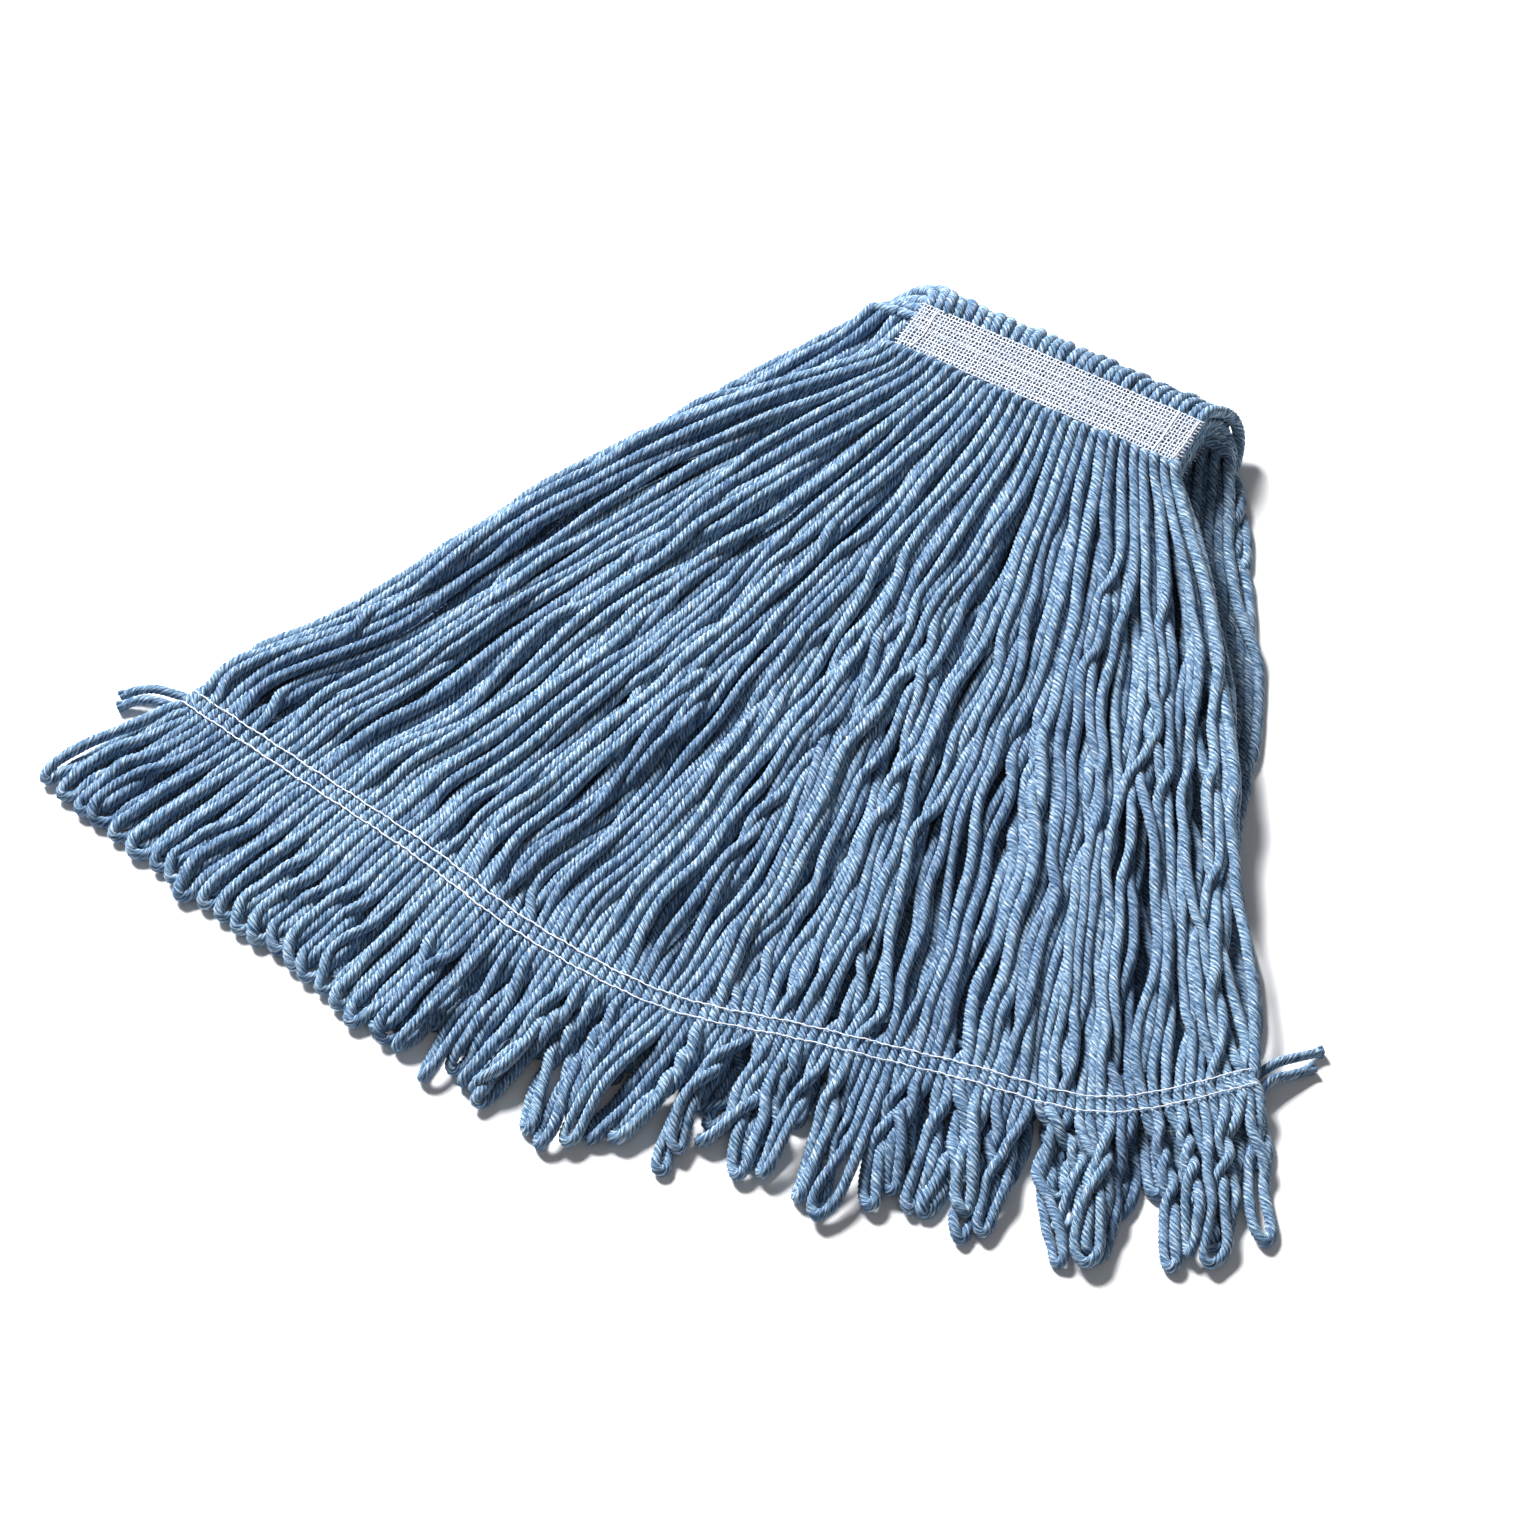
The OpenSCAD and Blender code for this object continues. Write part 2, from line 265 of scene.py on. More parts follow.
def chains(front):
    """One chain for each loop: strand, loop, next strand. Returns points and the free-to-move mask."""
    legs = strand_paths(front)
    loops = loop_paths(front)
    pts = np.concatenate([legs[0::2], loops, legs[1::2, ::-1]], 1)
    free = np.ones(pts.shape[:2])
    free[:, 0] = free[:, -1] = 0
    edge = S_POINTS
    for k in (edge - 1, edge, edge + 2 * LEG_POINTS - 1, edge + 2 * LEG_POINTS):
        free[:, k] = 0
    station = np.concatenate([S, np.full(2 * LEG_POINTS, LOOP_STATION), S[::-1]])
    return pts, free, np.broadcast_to(station, free.shape)


# ---------------------------------------------------------------- the rope solver
FRONT_HOLD = .14          # share of the way back to its height goal that a front point takes in a round
BACK_FALL = -.35          # drop of a back point in a round, mm
LOOP_PULL = .012          # share of the way back to its sideways goal, in a loop
STRAND_PULL = .035        # the same, in a strand
BEND_STIFFNESS = .16      # share of the way to the middle of its two neighbours
LOOP_CEILING = 15.0       # no point of a front loop lies higher, mm


def close_pairs(p, reach, chain, place):
    """Index pairs nearer than reach, apart from close neighbours on one chain."""
    cell = np.floor((p - p.min(0)) / reach).astype(np.int64) + 1
    dims = cell.max(0) + 2
    key = (cell[:, 0] * dims[1] + cell[:, 1]) * dims[2] + cell[:, 2]
    order = np.argsort(key, kind="stable")
    ordered = key[order]
    index = np.arange(len(p))
    found_i, found_j = [], []
    near = (-1, 0, 1)
    offsets = [(x, y, z) for x in near for y in near for z in near if (x, y, z) >= (0, 0, 0)]
    for off in offsets:
        other = key + (off[0] * dims[1] + off[1]) * dims[2] + off[2]
        first = np.searchsorted(ordered, other, "left")
        count = np.searchsorted(ordered, other, "right") - first
        for m in range(int(count.max())):
            here = count > m
            i, j = index[here], order[first[here] + m]
            if off == (0, 0, 0):
                keep = j > i
                i, j = i[keep], j[keep]
            found_i.append(i)
            found_j.append(j)
    i, j = np.concatenate(found_i), np.concatenate(found_j)
    keep = ((p[i] - p[j]) ** 2).sum(1) < reach * reach
    keep &= ~((chain[i] == chain[j]) & (np.abs(place[i] - place[j]) <= 3))
    return i[keep], j[keep]


def settle(pts, free, station, is_front, fixed, rounds=150):
    """Moves the chains' points off the floor and apart from each other, for a fixed number of rounds.

    The push between two strands is soft, so some overlap can be left where many strands crowd.
    """
    n, m = free.shape
    rest = np.linalg.norm(np.diff(pts, axis=1), axis=2)
    goal = pts.copy()
    held = np.broadcast_to(is_front[:, None], station.shape)
    p = pts.copy()
    w = free[..., None]
    count = n * m
    chain = np.concatenate([np.repeat(np.arange(n), m), np.full(len(fixed), -1)])
    place = np.concatenate([np.tile(np.arange(m), n), np.arange(len(fixed)) * 10])
    weight = np.concatenate([free.ravel(), np.zeros(len(fixed))])
    radius = np.full(len(chain), TOUCH_R)
    radius[count:] = CORD_D / 2
    near_band = np.abs(station - 1) < .04
    radius[:count][near_band.ravel()] = TOUCH_R - .15
    ceiling = np.where(is_front[:, None], np.interp(station, *FRONT_HIGH), np.interp(station, *BACK_HIGH) + 3)
    near_band_room = 3.5 * smoothstep(.8, .9, station) * (1 - smoothstep(.965, .985, station))
    near_tape_room = 3.5 * smoothstep(0, .02, station) * (1 - smoothstep(.05, .1, station))
    ceiling = ceiling - TOUCH_R + np.where(held, 1.2 + near_band_room + near_tape_room, .2)
    ceiling = np.where(held & (station == LOOP_STATION), LOOP_CEILING, ceiling)
    pull = np.where(station == LOOP_STATION, LOOP_PULL, STRAND_PULL)[..., None]
    for step in range(rounds):
        late = step / rounds
        size = mix(.55, 1.0, min(1, late * 1.6))
        fall = BACK_FALL if late < .9 else 0.0
        p[..., 2] += np.where(held, (goal[..., 2] - p[..., 2]) * FRONT_HOLD, fall) * free
        p[..., :2] += (goal[..., :2] - p[..., :2]) * pull * w
        bend = (p[:, :-2] + p[:, 2:]) / 2 - p[:, 1:-1]
        p[:, 1:-1] += BEND_STIFFNESS * bend * w[:, 1:-1]
        for parity in (0, 1):
            a, b = p[:, parity:-1:2], p[:, parity + 1::2]
            wa, wb = w[:, parity:-1:2], w[:, parity + 1::2]
            length = rest[:, parity::2][..., None]
            d = b - a
            now = np.linalg.norm(d, axis=2)[..., None]
            move = d * ((now - length) / (now * (wa + wb + 1e-9)))
            p[:, parity:-1:2] = a + move * wa
            p[:, parity + 1::2] = b - move * wb
        flat = np.concatenate([p.reshape(-1, 3), fixed])
        if step % 4 == 0:
            i, j = close_pairs(flat, 2 * TOUCH_R + 1.6, chain, place)
        for _ in range(2):
            d = flat[j] - flat[i]
            gap = np.linalg.norm(d, axis=1)
            overlap = (radius[i] + radius[j]) * size - gap
            total = weight[i] + weight[j]
            hit = (overlap > 0) & (total > 0)
            hi, hj = i[hit], j[hit]
            push = d[hit] / (gap[hit] + 1e-6)[:, None] * (overlap[hit] / total[hit])[:, None] * .5
            for axis in range(3):
                shift = np.bincount(hj, push[:, axis] * weight[hj], len(flat))
                shift -= np.bincount(hi, push[:, axis] * weight[hi], len(flat))
                flat[:, axis] += shift
        p = flat[:count].reshape(n, m, 3)
        p[..., 2] = np.where(free > 0, np.clip(p[..., 2], TOUCH_R + .05, ceiling), p[..., 2])
    return p


# ---------------------------------------------------------------- sweeping a section along many centre lines
def resample(paths, step):
    """The same number of evenly spaced points on every path of one array, on a smooth curve."""
    n, m, _ = paths.shape
    seg = np.linalg.norm(np.diff(paths, axis=1), axis=2)
    dist = np.concatenate([np.zeros((n, 1)), np.cumsum(seg, 1)], 1)
    count = max(4, int(dist[:, -1].mean() / step))
    out = np.zeros((n, count, 3))
    for k in range(n):
        t = np.linspace(0, dist[k, -1], count)
        i = np.clip(np.searchsorted(dist[k], t, "right") - 1, 0, m - 2)
        f = ((t - dist[k, i]) / (dist[k, i + 1] - dist[k, i]))[:, None]
        a, b, c, d = (paths[k, np.clip(i + q, 0, m - 1)] for q in (-1, 0, 1, 2))
        out[k] = .5 * (2 * b + (c - a) * f + (2 * a - 5 * b + 4 * c - d) * f ** 2
                       + (3 * b - a - 3 * c + d) * f ** 3)
    return out


def tangents(p):
    t = np.gradient(p, axis=1)
    return t / np.linalg.norm(t, axis=2)[..., None]


def carry_frames(p, first=None):
    """Rotation-minimising side vectors along every path. first gives the side vector to start from."""
    t = tangents(p)
    n, m, _ = p.shape
    side = np.zeros_like(p)
    s = np.tile([0.0, 0.0, 1.0], (n, 1)) if first is None else first
    for k in range(m):
        s = s - (s * t[:, k]).sum(1)[:, None] * t[:, k]
        s = s / (np.linalg.norm(s, axis=1)[:, None] + 1e-12)
        side[:, k] = s
    return t, side, np.cross(t, side)


def sweep(p, side, other, phase, angles, radii, scale=None):
    """Ring vertices: an array of paths, rings, vertices, xyz. phase turns each ring."""
    a = angles[None, None] + phase[..., None]
    r = radii[None, None] * (1.0 if scale is None else scale[..., None])
    return (p[:, :, None] + (r * np.cos(a))[..., None] * side[:, :, None]
            + (r * np.sin(a))[..., None] * other[:, :, None])


def tube_mesh(name, rings, attributes=None):
    """One mesh of many closed tubes. rings is a list of arrays (rings, vertices, xyz), in millimetres."""
    verts, quads, caps, start = [], [], [], 0
    for ring in rings:
        m, k, _ = ring.shape
        verts.append(ring.reshape(-1, 3))
        r, c = np.mgrid[0:m - 1, 0:k]
        a = start + r * k + c
        b = start + r * k + (c + 1) % k
        quads.append(np.stack([a, b, b + k, a + k], -1).reshape(-1, 4))
        caps.append(start + np.arange(k)[::-1])
        caps.append(start + (m - 1) * k + np.arange(k))
        start += m * k
    verts = np.concatenate(verts) * MM
    quads = np.concatenate(quads)
    mesh = bpy.data.meshes.new(name)
    mesh.vertices.add(len(verts))
    mesh.vertices.foreach_set("co", verts.astype(np.float32).ravel())
    cap_sizes = [len(c) for c in caps]
    loops = np.concatenate([quads.ravel()] + caps)
    sizes = np.concatenate([np.full(len(quads), 4), np.array(cap_sizes, int)])
    mesh.loops.add(len(loops))
    mesh.loops.foreach_set("vertex_index", loops.astype(np.int32))
    mesh.polygons.add(len(sizes))
    mesh.polygons.foreach_set("loop_start", np.concatenate([[0], np.cumsum(sizes)[:-1]]).astype(np.int32))
    mesh.polygons.foreach_set("use_smooth", np.ones(len(sizes), bool))
    for key, (kind, values) in (attributes or {}).items():
        field = mesh.attributes.new(key, kind, "POINT")
        field.data.foreach_set("vector" if kind == "FLOAT_VECTOR" else "value",
                               np.asarray(values, np.float32).ravel())
    mesh.update()
    mesh.validate()
    obj = bpy.data.objects.new(name, mesh)
    bpy.context.collection.objects.link(obj)
    return obj


# ---------------------------------------------------------------- materials
def srgb(r, g, b):
    return tuple(c / 12.92 if c <= .04045 else ((c + .055) / 1.055) ** 2.4 for c in (r, g, b)) + (1.0,)


class Nodes:
    """A material's node tree, with short calls to add and join nodes."""

    def __init__(self, name):
        self.material = bpy.data.materials.new(name)
        self.material.use_nodes = True
        self.tree = self.material.node_tree
        self.tree.nodes.clear()
        self.out = self.add("ShaderNodeOutputMaterial")
        self.shader = self.add("ShaderNodeBsdfPrincipled")
        self.join(self.shader, "BSDF", self.out, "Surface")

    def add(self, kind, inputs=None, **settings):
        node = self.tree.nodes.new(kind)
        for key, value in settings.items():
            setattr(node, key, value)
        for key, value in (inputs or {}).items():
            node.inputs[key].default_value = value
        return node

    def join(self, a, a_socket, b, b_socket):
        self.tree.links.new(a.outputs[a_socket], b.inputs[b_socket])

    def ramp(self, source, socket, stops):
        node = self.add("ShaderNodeValToRGB")
        node.color_ramp.elements[0].position, node.color_ramp.elements[0].color = stops[0]
        node.color_ramp.elements[1].position, node.color_ramp.elements[1].color = stops[-1]
        for position, colour in stops[1:-1]:
            node.color_ramp.elements.new(position).color = colour
        self.join(source, socket, node, "Fac")
        return node

    def mixed(self, kind, factor, a, b):
        """A colour mix. factor, a and b are either constants or (node, socket)."""
        node = self.add("ShaderNodeMix", data_type="RGBA", blend_type=kind)
        for index, value in ((0, factor), (6, a), (7, b)):
            if isinstance(value, tuple) and len(value) == 2:
                self.tree.links.new(value[0].outputs[value[1]], node.inputs[index])
            else:
                node.inputs[index].default_value = value
        return node

    def scaled_position(self, source, socket, scale):
        node = self.add("ShaderNodeMapping", {"Scale": scale})
        self.join(source, socket, node, "Vector")
        return node

    def noise(self, source, socket, scale, detail=3.0, rough=.6):
        node = self.add("ShaderNodeTexNoise", {"Scale": scale, "Detail": detail, "Roughness": rough})
        self.join(source, socket, node, "Vector")
        return node



def yarn_material():
    """Heathered blue fibres that run along the plies, pale and navy flecks, and painted shade in the grooves
    between plies.
    """
    n = Nodes("yarn")
    fibre = n.add("ShaderNodeAttribute", attribute_name="fibre")
    strand = n.add("ShaderNodeAttribute", attribute_name="strand")
    groove = n.add("ShaderNodeAttribute", attribute_name="groove")
    # fibre holds millimetres: the first two numbers go round the yarn, the third goes along it.
    fine = n.noise(n.scaled_position(fibre, "Vector", (1.5, 1.5, .32)), "Vector", 1.0, 4.0, .65)
    patch = n.noise(n.scaled_position(fibre, "Vector", (.55, .55, .1)), "Vector", 1.0, 2.0, .5)
    fleck = n.noise(n.scaled_position(fibre, "Vector", (1.3, 1.3, .45)), "Vector", 1.0, 2.0, .5)
    heather = n.ramp(fine, "Fac", [(.36, srgb(.16, .28, .40)), (.46, srgb(.38, .52, .63)),
                                   (.55, srgb(.60, .71, .78)), (.65, srgb(.92, .94, .95))])
    tone = n.ramp(patch, "Fac", [(.36, srgb(.72, .79, .88)), (.52, (1, 1, 1, 1)), (.7, srgb(1, 1, 1))])
    body = n.mixed("MULTIPLY", .8, (heather, "Color"), (tone, "Color"))
    pale = n.ramp(fleck, "Fac", [(.62, (0, 0, 0, 1)), (.70, (1, 1, 1, 1))])
    body = n.mixed("MIX", (pale, "Color"), (body, 2), srgb(.82, .87, .91))
    shade = n.ramp(strand, "Fac", [(0, srgb(.78, .81, .86)), (.5, srgb(.93, .94, .96)), (1, (1, 1, 1, 1))])
    body = n.mixed("MULTIPLY", 1.0, (body, 2), (shade, "Color"))
    # painted shade: the base colour darkens towards the grooves between plies, where shade falls
    groove_shade = n.ramp(groove, "Fac", [(0, (1, 1, 1, 1)), (.5, srgb(.90, .91, .93)), (1, srgb(.52, .58, .66))])
    body = n.mixed("MULTIPLY", 1.0, (body, 2), (groove_shade, "Color"))
    n.tree.links.new(body.outputs[2], n.shader.inputs["Base Color"])
    n.shader.inputs["Roughness"].default_value = .92
    n.shader.inputs["Sheen Weight"].default_value = .06
    n.shader.inputs["Sheen Roughness"].default_value = .6
    n.shader.inputs["Specular IOR Level"].default_value = .15
    bump = n.add("ShaderNodeBump", {"Strength": .7, "Distance": .0005})
    n.join(fine, "Fac", bump, "Height")
    n.join(bump, "Normal", n.shader, "Normal")
    return n.material


def thread_material(name, light, dark, scale):
    """White thread: fine fibres along it and faint soiling."""
    n = Nodes(name)
    place = n.add("ShaderNodeTexCoord")
    fine = n.noise(n.scaled_position(place, "Object", (scale, scale, scale)), "Vector", 1.0, 3.0, .6)
    soft = n.noise(n.scaled_position(place, "Object", (90, 90, 90)), "Vector", 1.0, 2.0, .5)
    colour = n.ramp(fine, "Fac", [(.3, dark), (.6, light)])
    cast = n.ramp(soft, "Fac", [(.3, srgb(.90, .92, .96)), (.65, (1, 1, 1, 1))])
    body = n.mixed("MULTIPLY", .8, (colour, "Color"), (cast, "Color"))
    n.tree.links.new(body.outputs[2], n.shader.inputs["Base Color"])
    n.shader.inputs["Roughness"].default_value = .8
    n.shader.inputs["Sheen Weight"].default_value = .2
    bump = n.add("ShaderNodeBump", {"Strength": .4, "Distance": .0002})
    n.join(fine, "Fac", bump, "Height")
    n.join(bump, "Normal", n.shader, "Normal")
    return n.material


YARN = yarn_material()
TAPE = thread_material("tape_thread", srgb(.84, .85, .87), srgb(.66, .69, .76), 2200)
THREAD = thread_material("sewing_thread", srgb(.96, .96, .97), srgb(.88, .89, .93), 2600)


def finish_piece(obj, material, slot, *nodes):
    obj.data.materials.append(material)
    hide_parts(*nodes)
    return obj


# ---------------------------------------------------------------- yarn tubes
def yarn_attributes(rings, dist, tones):
    """The yarn material's attributes, for a list of tubes: distance along each and one tone for each."""
    k = len(RING_ANGLES)
    round_x, round_y = RING_RADII * np.cos(RING_ANGLES), RING_RADII * np.sin(RING_ANGLES)
    fibre, strand, groove = [], [], []
    for ring, d, tone in zip(rings, dist, tones):
        m = len(ring)
        start = np.modf(tone * 977.0)[0] * 400
        fibre.append(np.stack([np.tile(round_x, m), np.tile(round_y, m), np.repeat(d, k) + start], -1))
        strand.append(np.full(m * k, tone))
        groove.append(np.tile(RING_GROOVE, m))
    return {"fibre": ("FLOAT_VECTOR", np.concatenate(fibre)), "strand": ("FLOAT", np.concatenate(strand)),
            "groove": ("FLOAT", np.concatenate(groove))}


def uneven(dist):
    """A slow change of thickness along each yarn: 1 give or take a few parts in a hundred."""
    a, b, c = rng.uniform(0, 2 * np.pi, (3, len(dist), 1))
    own = .07 * rng.normal(size=(len(dist), 1))
    short = .035 * np.sin(dist / 5.1 + a) + .025 * np.sin(dist / 2.3 + b)
    return 1 + own + short + .03 * np.sin(dist / 13 + c)


def yarn_rings(paths, phase0=None, first=None, size=None, end_turn=None):
    """Sweeps the yarn's section along resampled paths. end_turn adds a turn up to the last ring."""
    t, side, other = carry_frames(paths, first)
    step = np.linalg.norm(np.diff(paths, axis=1), axis=2)
    dist = np.concatenate([np.zeros((len(paths), 1)), np.cumsum(step, 1)], 1)
    phase = -2 * np.pi * dist / TWIST_PITCH
    if phase0 is not None:
        phase = phase + phase0[:, None]
    if end_turn is not None:
        phase = phase + end_turn[:, None] * dist / dist[:, -1:]
    if size is None:
        ends = smoothstep(0, 6, dist) * smoothstep(0, 6, dist[:, -1:] - dist)
        size = 1 + (uneven(dist) - 1) * ends
    return sweep(paths, side, other, phase, RING_ANGLES, RING_RADII, size), dist, side, other, phase


def least_turn(angle):
    """The smallest turn that is the same as angle for a section with equal plies."""
    return (angle + np.pi / PLIES) % (2 * np.pi / PLIES) - np.pi / PLIES


front_pts, front_free, stations = chains(True)
back_pts, back_free, _ = chains(False)
all_pts = np.concatenate([front_pts, back_pts])
all_free = np.concatenate([front_free, back_free])
all_stations = np.concatenate([stations, stations])
is_front = np.arange(len(all_pts)) < LOOPS


def cord_route(offset, left, right):
    u = np.linspace(-1, 1, 45)
    middle = np.concatenate([band_point(u, np.full(45, offset)), np.full((45, 1), BACK_CORD_Z)], 1)
    ends = [np.array(points, float).reshape(-1, 3) for points in (left, right)]
    return np.concatenate([ends[0], middle, ends[1]])


CORDS = {
    "front_tail_cord_upper": cord_route(ROW_PITCH / 2,
                                        [(-286, -341, 2.8), (-280.5, -337, 5), (-272, -334, 7)],
                                        [(259, -271, 6.8), (265, -262.5, 5), (271, -254.5, 2.8)]),
    "front_tail_cord_lower": cord_route(-ROW_PITCH / 2,
                                        [(-283.5, -347, 2.8), (-278, -342.5, 5), (-270, -340, 7)],
                                        [(262, -279, 6.8), (267, -272, 4.6), (272, -264.5, 2.8)]),
    "back_tail_cord_upper": cord_route(BACK_OFFSET + ROW_PITCH / 2, [], []),
    "back_tail_cord_lower": cord_route(BACK_OFFSET - ROW_PITCH / 2, [], []),
}
obstacles = np.concatenate([resample(route[None], 4.0)[0] for route in CORDS.values()])
settled = settle(all_pts, all_free, all_stations, is_front, obstacles, 150)
for _ in range(2):
    to_middle = (settled[:, :-2] + settled[:, 2:]) / 2 - settled[:, 1:-1]
    settled[:, 1:-1] += .3 * to_middle * all_free[:, 1:-1, None]


def puff(points, level, station):
    """Lifts the topmost strands beside the tape's lower edge, where the tape squeezes them up."""
    height = rng.uniform(2.4, 4.6, level.shape)[:, :, None] * (level == ROWS - 1)[:, :, None]
    near = np.exp(-((station - .014) / .013) ** 2) * smoothstep(0, .009, station)
    half = points.shape[1] // 2
    for k, part in ((0, slice(0, half)), (1, slice(half, None))):
        points[:, part, 2] += height[:, k] * near[:, part]
        points[:, part, 1] += .3 * height[:, k] * near[:, part]
    return points


def covered_stretch(end):
    """Points straight back under the tape from each chain's end."""
    y = np.arange(HALF_WID - 2, -HALF_WID, -4.5)
    return np.stack([np.repeat(end[:, :1], len(y), 1), np.tile(y, (len(end), 1)),
                     np.repeat(end[:, 2:], len(y), 1)], -1)


def under_tape(chain_points):
    """Adds the straight stretch that the tape covers to both ends of every front chain."""
    first, last = covered_stretch(chain_points[:, 0]), covered_stretch(chain_points[:, -1])
    return np.concatenate([first, chain_points, last[:, ::-1]], 1)


front_settled = puff(settled[:LOOPS], LAYER.reshape(-1, 2), stations)
front_paths = resample(under_tape(front_settled), RING_STEP)
back_paths = resample(settled[LOOPS:], RING_STEP)
front_rings, front_dist, front_side, _, front_phase = yarn_rings(front_paths)
back_rings, back_dist, back_side, _, back_phase = yarn_rings(back_paths)
tones = rng.random(STRANDS)

CHAINS_PER_BUNDLE = LOOPS // BUNDLES
for body, rings, dist in (("front", front_rings, front_dist), ("back", back_rings, back_dist)):
    for b in range(BUNDLES):
        some = slice(b * CHAINS_PER_BUNDLE, (b + 1) * CHAINS_PER_BUNDLE)
        name = f"{body}_yarn_{b + 1:02d}"
        piece = tube_mesh(f"{name}_strands", list(rings[some]),
                          yarn_attributes(rings[some], dist[some], tones[some]))
        finish_piece(piece, YARN, "yarn", name)
        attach(piece, f"{body}_half")


# ---------------------------------------------------------------- the strands around the fold
def crown_paths():
    """From under the tape, round the fold, to the start of the back layer's strands, for every strand."""
    out = []
    bulge = smooth_noise(COLUMNS, 24, .3)
    for j in range(STRANDS):
        leg, odd = divmod(j, 2)
        front_end = front_paths[leg, -1 if odd else 0]
        back_end = settled[LOOPS + leg, -1 if odd else 0]
        r = LAYER_R[j]
        q = np.radians(np.linspace(90, -90, 19))
        w = (1 - np.sin(q)) / 2
        outer = LAYER[j] == ROWS - 1
        rough = .16 + .13 * bulge[j // ROWS] + .03 * rng.normal() if outer else .02 * rng.normal()
        swell = 1 + rough * np.cos(q)
        lean = (.8 if outer else .4) * rng.normal() * np.cos(q)
        bump = 2.4 + 1.2 * bulge[j // ROWS] + .4 * rng.normal() if outer else 0
        edge = bump * np.exp(-((np.degrees(q) - 68) / 20) ** 2)
        arc = np.stack([mix(front_end[0], back_end[0], w) + lean,
                        STRANDS_END + .3 + r * swell * np.cos(q) - .5 * edge,
                        FOLD_Z + r * np.sin(q) + edge], -1)
        flat = np.array([[front_end[0], y, front_end[2]] for y in (front_end[1], front_end[1] + 1.6)])
        out.append(np.concatenate([flat, arc, back_end[None]]))
    return out


def crown_piece(row):
    members = np.flatnonzero(LAYER == row)
    paths = crown_all[members]
    legs, odd = members // 2, members % 2 == 1
    end = np.where(odd, -1, 0)
    first = front_side[legs, end]
    start_phase = front_phase[legs, end] * np.where(odd, 1, -1)
    fine = resample(paths, RING_STEP)
    _, side, other = carry_frames(fine, first)
    step = np.linalg.norm(np.diff(fine, axis=1), axis=2).sum(1)
    want_side = back_side[legs, end]
    turned = np.arctan2((want_side * other[:, -1]).sum(1), (want_side * side[:, -1]).sum(1))
    target = back_phase[legs, end] * np.where(odd, -1, 1) + turned
    end_turn = least_turn(target - (start_phase - 2 * np.pi * step / TWIST_PITCH))
    middle = np.sin(np.pi * np.linspace(0, 1, fine.shape[1]))[None]
    fat = 1 + (.16 if row == ROWS - 1 else 0) * np.repeat(middle, len(fine), 0)
    rings, dist, *_ = yarn_rings(fine, start_phase, first, size=fat, end_turn=end_turn)
    apex = int(np.argmax(fine[:, :, 1].mean(0)))
    for part, cut, bodies in (("upper", slice(0, apex + 1), ("fold", "front_half")),
                              ("lower", slice(apex, None), ("back_half", "fold"))):
        piece = tube_mesh(f"crown_row_{row + 1}_{part}_strands", list(rings[:, cut]),
                          yarn_attributes(rings[:, cut], dist[:, cut], tones[legs]))
        finish_piece(piece, YARN, "yarn", f"crown_row_{row + 1}")
        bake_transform(piece)


crown_all = np.array(crown_paths())
for row in range(ROWS):
    crown_piece(row)


# ---------------------------------------------------------------- cross cords of the tail bands
PLY_SIZE = .47            # a loose ply's section against the whole yarn's
FRAY_LENGTH = 3.0


def loose_plies(end, inner, length):
    """Centre lines of the four plies that splay out of a cut end. inner is a point a little way in."""
    away = (end - inner) / np.linalg.norm(end - inner)
    side = np.cross(away, [0, 0, 1])
    side /= np.linalg.norm(side)
    up = np.cross(side, away)
    t = np.linspace(0, 1, 8)
    out = []
    for angle in np.radians([45, 135, 225, 315]) + rng.uniform(-.3, .3, 4):
        radial = np.cos(angle) * side + np.sin(angle) * up
        spread = mix(CORD_R * .45, CORD_R * rng.uniform(.75, 1.0), t ** 1.5)
        run = (length * rng.uniform(.75, 1.15) + 1.5) * t - 1.5
        line = end + away * run[:, None] + radial * spread[:, None]
        line[:, 2] = np.maximum(line[:, 2], YARN_R * PLY_SIZE + .1)
        out.append(line)
    return out


def cord_piece(name):
    """One cross cord; on the front half its two cut ends are frayed into loose plies."""
    body = "front_half" if name.startswith("front") else "back_half"
    path = resample(CORDS[name][None], RING_STEP)
    scale = np.full(path.shape[:2], CORD_R / YARN_R)
    rings, dist, *_ = yarn_rings(path, size=scale)
    tubes, dists = [rings[0]], [dist[0]]
    if body == "front_half":
        for end, inner in ((path[0, 0], path[0, 4]), (path[0, -1], path[0, -5])):
            plies = np.array(loose_plies(end, inner, FRAY_LENGTH * rng.uniform(.8, 1.2)))
            ply_rings, ply_dist, *_ = yarn_rings(plies, size=np.full(plies.shape[:2], PLY_SIZE))
            tubes += list(ply_rings)
            dists += list(ply_dist)
    piece = tube_mesh(f"{name}_yarn", tubes, yarn_attributes(tubes, dists, np.full(len(tubes), rng.random())))
    finish_piece(piece, YARN, "yarn", name)
    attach(piece, body)
    if body == "front_half":
        ways_out = (path[0, 0] - path[0, 4], path[0, -1] - path[0, -5])
        start_fray, end_fray = (v * FRAY_LENGTH / 2 / np.linalg.norm(v) for v in ways_out)
        path = np.concatenate([path[:, :1] + start_fray, path, path[:, -1:] + end_fray], 1)


for name in CORDS:
    cord_piece(name)


